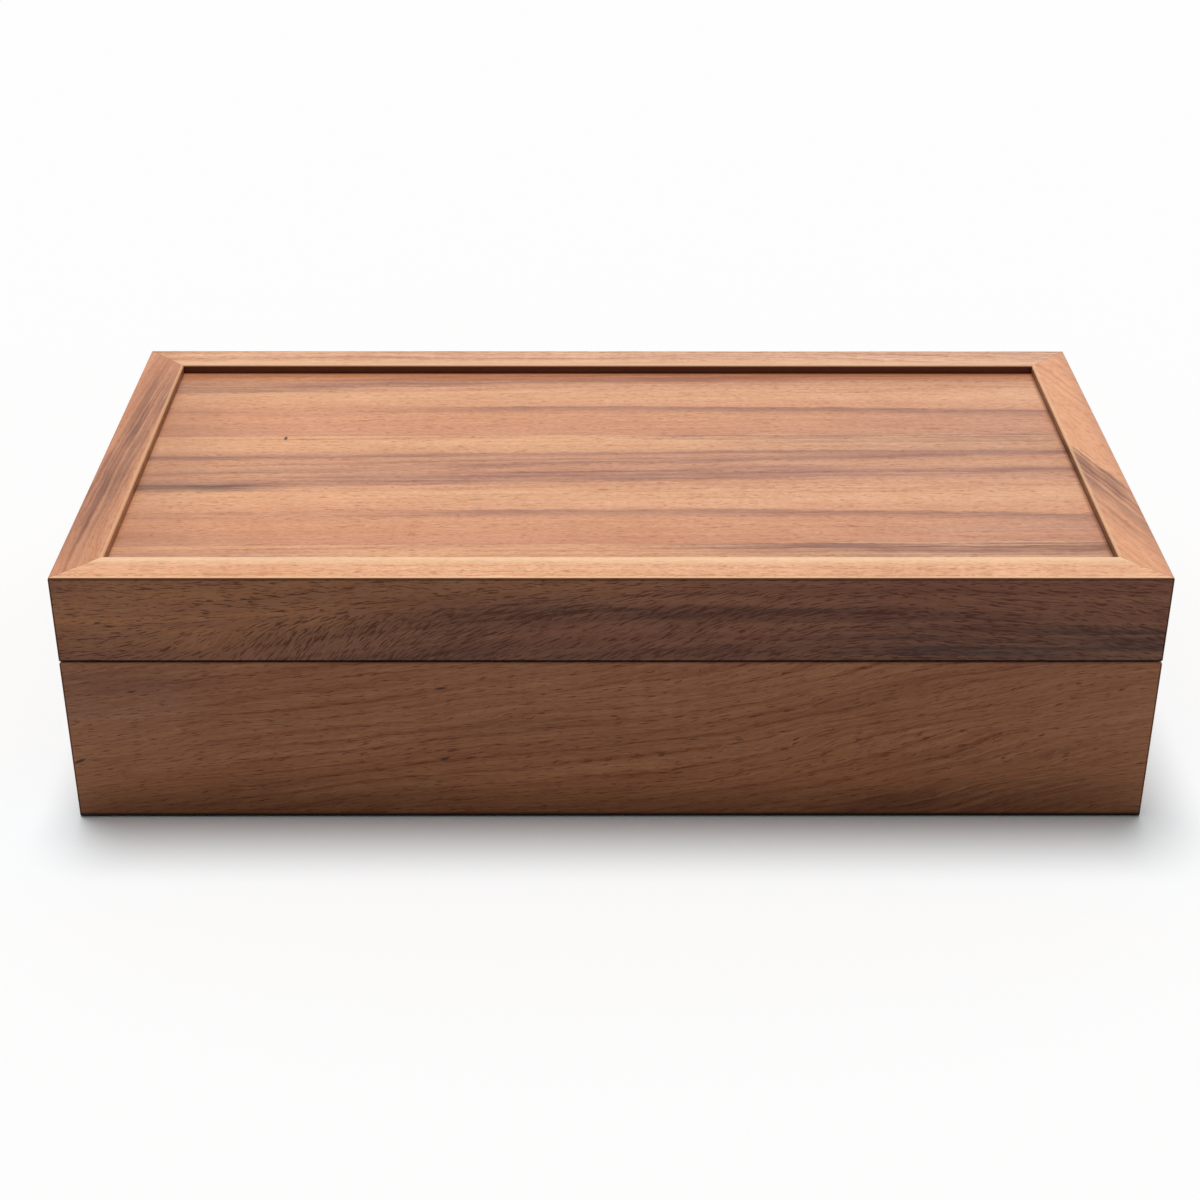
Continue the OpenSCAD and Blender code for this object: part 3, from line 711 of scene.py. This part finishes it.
baseFront = {
    **wallPiece, "name": "baseFrontWall", "node": "base_front_wall", "finish": "oiled_acacia_base_front",
    "wood": {
        **wallWood, "axes": "XZY", "tilt": 0.7, "mitre": cornered("front"), "seed": 5, "slope": -0.1,
        "bends": [{"from": -220, "to": -100, "rise": 5}, {"from": 10, "to": 190, "rise": 18}],
        "ringSpan": (-170, 170), "damp": {**wallWood["damp"], "grime": 0.03},
        "streaks": [
            {"at": 20, "over": 11, "under": 12, "from": -185, "to": -20, "fade": 60, "depth": 0.35,
             "ragged": 3},
            {"at": 39, "over": 7, "under": 6, "from": -85, "to": 30, "fade": 40, "depth": 0.3,
             "ragged": 2},
            {"at": 11, "over": 8, "under": 8, "from": 80, "to": 180, "fade": 40, "depth": 0.35,
             "ragged": 2},
            {"at": -3, "over": 10, "under": 14, "from": 50, "to": 190, "fade": 50, "depth": 0.6,
             "ragged": 2},
            {"at": 58, "over": 17, "under": 17, "from": -400, "to": -115, "fade": 50, "depth": 0.4,
             "tone": "#e2ac92", "ragged": 2},
            {"at": 69, "over": 12, "under": 12, "from": -400, "to": -115, "fade": 40, "depth": 0.4,
             "tone": "#7d5c50", "ragged": 3}
        ],
        "specks": [
            {"at": (-55.9, 50.9), "long": 2.2, "wide": 0.5, "turn": 8, "depth": 0.85},
            {"at": (-55.3, 23.4), "long": 1.8, "wide": 0.5, "turn": 12, "depth": 0.9},
            {"at": (-177.4, 22.5), "long": 2.6, "wide": 0.6, "turn": 25, "depth": 0.9}
        ]
    }
}

baseBack = {
    **wallPiece, "name": "baseBackWall", "node": "base_back_wall", "finish": "oiled_acacia_base_back",
    "wood": {
        **wallWood, "axes": "XZY", "tilt": 0.6, "mitre": cornered("back"), "seed": 6, "slope": 0.04,
        "bends": [{"from": -160, "to": 60, "rise": -14}],
        "streaks": [
            {"at": 40, "rise": 0.02, "over": 9, "under": 3, "from": -200, "to": 90, "fade": 70,
             "depth": 0.55, "ragged": 2.5},
            {"at": 18, "rise": 0.03, "over": 7, "under": 9, "from": -40, "to": 240, "fade": 60,
             "depth": 0.45, "ragged": 2.5}
        ]
    }
}

baseLeft = {
    **wallPiece, "name": "baseLeftWall", "node": "base_left_wall", "finish": "oiled_acacia_base_left",
    "wood": {
        **wallWood, "axes": "YZX", "tilt": 0.6, "mitre": cornered("left"), "seed": 7, "slope": 0.06,
        "streaks": [
            {"at": 34, "over": 6, "under": 9, "from": -140, "to": 60, "fade": 50, "depth": 0.5,
             "ragged": 2.5}
        ]
    }
}

baseRight = {
    **wallPiece, "name": "baseRightWall", "node": "base_right_wall", "finish": "oiled_acacia_base_right",
    "wood": {
        **wallWood, "axes": "YZX", "tilt": 0.6, "mitre": cornered("right"), "seed": 8, "slope": -0.07,
        "bends": [{"from": -80, "to": 90, "rise": 9}],
        "streaks": [
            {"at": 24, "over": 9, "under": 5, "from": -60, "to": 140, "fade": 50, "depth": 0.5,
             "ragged": 2.5}
        ]
    }
}

for piece in (lidFront, lidBack, lidLeft, lidRight, baseFront, baseBack, baseLeft, baseRight):
    easedPiece(piece)
print("walls and rails ready")

# dividers: thin boards with their top edges rounded

dividerTones = [(0.0, "#a26d4b"), (0.5, "#c4885f"), (1.0, "#d69d73")]
longDivider = {
    **dividerPiece, "name": "longDivider", "node": "long_divider", "finish": "sanded_acacia_long_divider",
    "wood": {"axes": "XZY", "seed": 9, "tones": dividerTones, "rough": 0.5}
}
easedPiece(longDivider)
for number in (1, 2, 3):
    easedPiece({**dividerPiece, "name": f"crossDivider{number}", "node": f"cross_divider_{number}",
                "finish": f"sanded_acacia_cross_divider_{number}",
                "wood": {"axes": "YZX", "seed": 10 + number, "tones": dividerTones, "rough": 0.5}})
print("dividers ready")

# face veneer: three leaves of one slice, laid side by side so that the figure repeats with each leaf.
# Places are measured from a leaf's back edge towards its front edge.

veneer = {
    "leafMm": 86, "seam": 22, "lean": 4.5 / 341,
    "drift": {
        "axis": "X", "from": -165, "to": 165, "low": (1.035, 0.995, 0.965), "high": (0.97, 0.975, 1.02)
    },
    "tones": [
        (0.0, "#d29a75"), (0.03, "#dca57c"), (0.13, "#daa37b"), (0.19, "#c89171"), (0.3, "#c68f6f"),
        (0.42, "#c68f70"), (0.5, "#d29a75"), (0.57, "#dca57d"), (0.63, "#dda57d"), (0.7, "#d89d78"),
        (0.8, "#d29670"), (0.9, "#cf936f"), (1.0, "#c98d6c")
    ],
    "streaks": [
        {"at": 28, "over": 10, "under": 10, "from": -400, "to": -50, "fade": 90, "depth": 0.9,
         "tone": "#d69e77"},
        {"at": 0.8, "over": 4.5, "under": 1.2, "from": -10, "to": 400, "fade": 50, "depth": 1.0,
         "ragged": 0.4},
        {"at": 8, "over": 9, "under": 10, "from": 20, "to": 400, "fade": 70, "depth": 0.55},
        {"at": 16.5, "over": 3.5, "under": 3.5, "from": 50, "to": 400, "fade": 70, "depth": 0.8,
         "tone": "#7f5c52", "ragged": 0.6},
        {"at": 34, "rise": -0.035, "over": 5, "under": 7, "from": -95, "to": 115, "fade": 60,
         "depth": 0.75, "tone": "#a67766", "ragged": 1.5},
        {"at": 20.5, "rise": -0.03, "over": 1, "under": 1.6, "from": -160, "to": 60, "depth": 0.6},
        {"at": 31, "rise": -0.035, "over": 1.2, "under": 2, "from": -120, "to": 120, "depth": 0.7},
        {"at": 15.2, "mid": 60, "arch": 0.00006, "over": 3, "under": 1.8, "from": -400, "to": 200,
         "depth": 0.85, "wear": 0.5, "ragged": 0.8},
        {"at": 24, "rise": -0.045, "over": 3.5, "under": 4.5, "from": -180, "to": 140, "depth": 0.8,
         "ragged": 1.4},
        {"at": 37.2, "rise": -0.03, "over": 3, "under": 9, "from": -200, "to": 200, "depth": 0.8,
         "ragged": 1.4},
        {"at": 18, "over": 2.5, "under": 3, "from": -400, "to": -100, "fade": 55, "depth": 0.9,
         "tone": "#75544a", "ragged": 0.6},
        {"at": 61.2, "mid": -35, "arch": 0.00015, "over": 6.5, "under": 1.8, "from": -95, "to": 400,
         "fade": 60, "depth": 0.82, "wear": 0.3, "ragged": 0.5},
        {"at": 61.8, "mid": -35, "arch": 0.00015, "over": 6, "under": 4, "from": -400, "to": -30,
         "fade": 60, "depth": 0.4, "ragged": 1.2},
        {"at": 26, "over": 5, "under": 5, "from": 40, "to": 260, "fade": 60, "depth": 0.8,
         "tone": "#dca57c"},
        {"at": 84, "over": 3, "under": 12, "from": -400, "to": -105, "fade": 40, "depth": 0.5,
         "tone": "#a0735e"},
        {"at": 76, "over": 14, "under": 14, "from": 60, "to": 300, "fade": 90, "depth": 0.6,
         "tone": "#b48672"}
    ],
    "back": [
        {"at": 43.5, "over": 4.5, "under": 4, "from": -400, "to": -60, "fade": 80, "depth": 0.8,
         "tone": "#7d5a4c"}
    ],
    "middle": [
        {"at": 41.8, "over": 5, "under": 5, "from": -400, "to": -105, "depth": 1.0, "wear": 0.4,
         "tone": "#583f38", "ragged": 0.6}
    ],
    "front": [
        {"at": 0.3, "over": 0.9, "under": 0.9, "from": 60, "to": 400, "depth": 0.7, "tone": "#ecbb92",
         "ragged": 0.1},
        {"at": 5, "over": 9, "under": 8, "from": -400, "to": 80, "fade": 60, "depth": 0.8,
         "tone": "#cc926f"},
        {"at": 8, "over": 8, "under": 6, "from": -400, "to": -70, "fade": 50, "depth": 0.6,
         "tone": "#b58d7c"},
        {"at": 4, "over": 7, "under": 3.2, "from": -10, "to": 400, "fade": 80, "depth": 1.0,
         "tone": "#84594b"}
    ]
}
# painted shade of the frame on the panel: soft along the left rail, a dark line at the right, darkest at
# the back
panelShade = [{"axis": "X", "side": -1, "at": panelEdge["X"], "mm": 2.5, "share": 0.12, "tone": "#7a4c33"},
            {"axis": "X", "side": -1, "at": panelEdge["X"], "mm": 36, "share": 0.26, "tone": "#8a5a42"},
            {"axis": "X", "side": 1, "at": panelEdge["X"], "mm": 1.6, "share": 0.5, "tone": "#5a3320"},
            {"axis": "Y", "side": 1, "at": panelEdge["Y"], "mm": 2.4, "share": 0.6, "tone": "#7d4d2f"},
            {"axis": "Y", "side": 1, "at": panelEdge["Y"], "mm": 11, "share": 0.42, "tone": "#b0622a"}]
for number, leaf in enumerate(("back", "middle", "front")):
    leafWood = {"axes": "XYZ", "sign": -1, "tilt": 0, "slope": veneer["lean"], "waver": 1.2, "seed": 20,
                "offset": veneer["seam"] + (1 - number) * veneer["leafMm"], "leafMm": veneer["leafMm"],
                "tones": veneer["tones"], "streaks": veneer["streaks"] + veneer[leaf],
                "streakTone": "#8f6355", "rim": panelShade,
                "jitter": 0.05, "lineMm": 1.2, "lineLong": 70, "lineDepth": 0.12, "fibreDepth": 0.1,
                "figureMm": 9, "ringDepth": 0, "ripple": 0.45, "speckle": 0.15, "poreLong": 3.5,
                "poreWide": 0.5, "poreLevel": 0.64, "poreDepth": 0.45, "poreTone": "#8a4b2e",
                "arrisHighlightShare": 0, "drift": veneer["drift"]}
    if leaf == "back":
        leafWood["specks"] = [{"at": (45, 63), "long": 1.6, "wide": 11, "turn": 4, "depth": 0.06}]
    if leaf == "middle":
        leafWood["specks"] = [{"at": (-118, 18.8), "long": 0.7, "wide": 1.6, "depth": 0.95},
                              {"at": (46, -27), "long": 1.4, "wide": 10, "turn": -10, "depth": 0.09},
                              {"at": (-46, -34), "long": 1.8, "wide": 14, "turn": 4, "depth": 0.055},
                              {"at": (-12, -54), "long": 1.6, "wide": 8, "turn": 14, "depth": 0.06}]
    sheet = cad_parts["lid_veneer_" + leaf]
    sheet.data.materials.clear()
    sheet.data.materials.append(acaciaWood("oiled_acacia_veneer_" + leaf, leafWood))

boards = {"lid_lining_veneer": {"axes": "XYZ", "seed": 30, "tones": dividerTones, "bandMm": 20,
                                "arrisHighlightShare": 0},
          "lid_panel_core": {"axes": "XYZ", "seed": 31, "tones": dividerTones, "arrisHighlightShare": 0},
          "bottom_board": {"axes": "XYZ", "seed": 32, "tones": dividerTones, "bandMm": 24,
                           "arrisHighlightShare": 0}}
for node, wood in boards.items():
    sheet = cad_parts[node]
    sheet.data.materials.clear()
    sheet.data.materials.append(acaciaWood("sanded_" + node, wood))
print("veneers and boards ready")

# brass: pressed and drawn hinge metal, brushed along the hinge and lightly aged, so its sheen is soft
# and uneven

brass = {"tones": [(0.3, "#9c7a3c"), (0.55, "#c29a52"), (0.8, "#d0ab66")], "brushLong": 14, "agedMm": 6,
         "rough": (0.24, 0.42), "bump": 0.15, "bumpMm": 0.02, "hingeBrush": 0.25, "screwBrush": 0.5}


def satinBrass(name, brushMm):
    mat, tree = newMaterial(name)
    place = addNode(tree, "TexCoord").outputs["Object"]
    lines = (1 / (brass["brushLong"] * mm), 1 / (brushMm * mm), 1 / (brushMm * mm))
    brushed = addNode(tree, "Mapping", {"Vector": place, "Scale": lines})
    brush = addNode(tree, "TexNoise", {"Vector": brushed, "Scale": 1.0, "Detail": 2.0})
    aged = addNode(tree, "TexNoise", {"Vector": place, "Scale": 1 / (brass["agedMm"] * mm),
                                      "Detail": 3.0})
    colour = addNode(tree, "ValToRGB", {"Fac": aged}, stops=brass["tones"])
    least, most = brass["rough"]
    dull = addNode(tree, "MapRange", {0: brush, 1: 0.3, 2: 0.7, 3: least, 4: most})
    bump = addNode(tree, "Bump", {"Strength": brass["bump"], "Distance": brass["bumpMm"] * mm,
                                  "Height": brush})
    skin = addNode(tree, "BsdfPrincipled", {"Base Color": colour, "Metallic": 1.0, "Roughness": dull,
                                            "Normal": bump})
    addNode(tree, "OutputMaterial", {0: skin})
    return mat


leafBrass = satinBrass("satin_brass_hinge", brass["hingeBrush"])
screwBrass = satinBrass("satin_brass_screw", brass["screwBrush"])
for node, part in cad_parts.items():
    if node.startswith("hinge_") or "_screws_" in node:
        part.data.materials.clear()
        part.data.materials.append(screwBrass if "_screws_" in node else leafBrass)
print("hinges and screws ready")
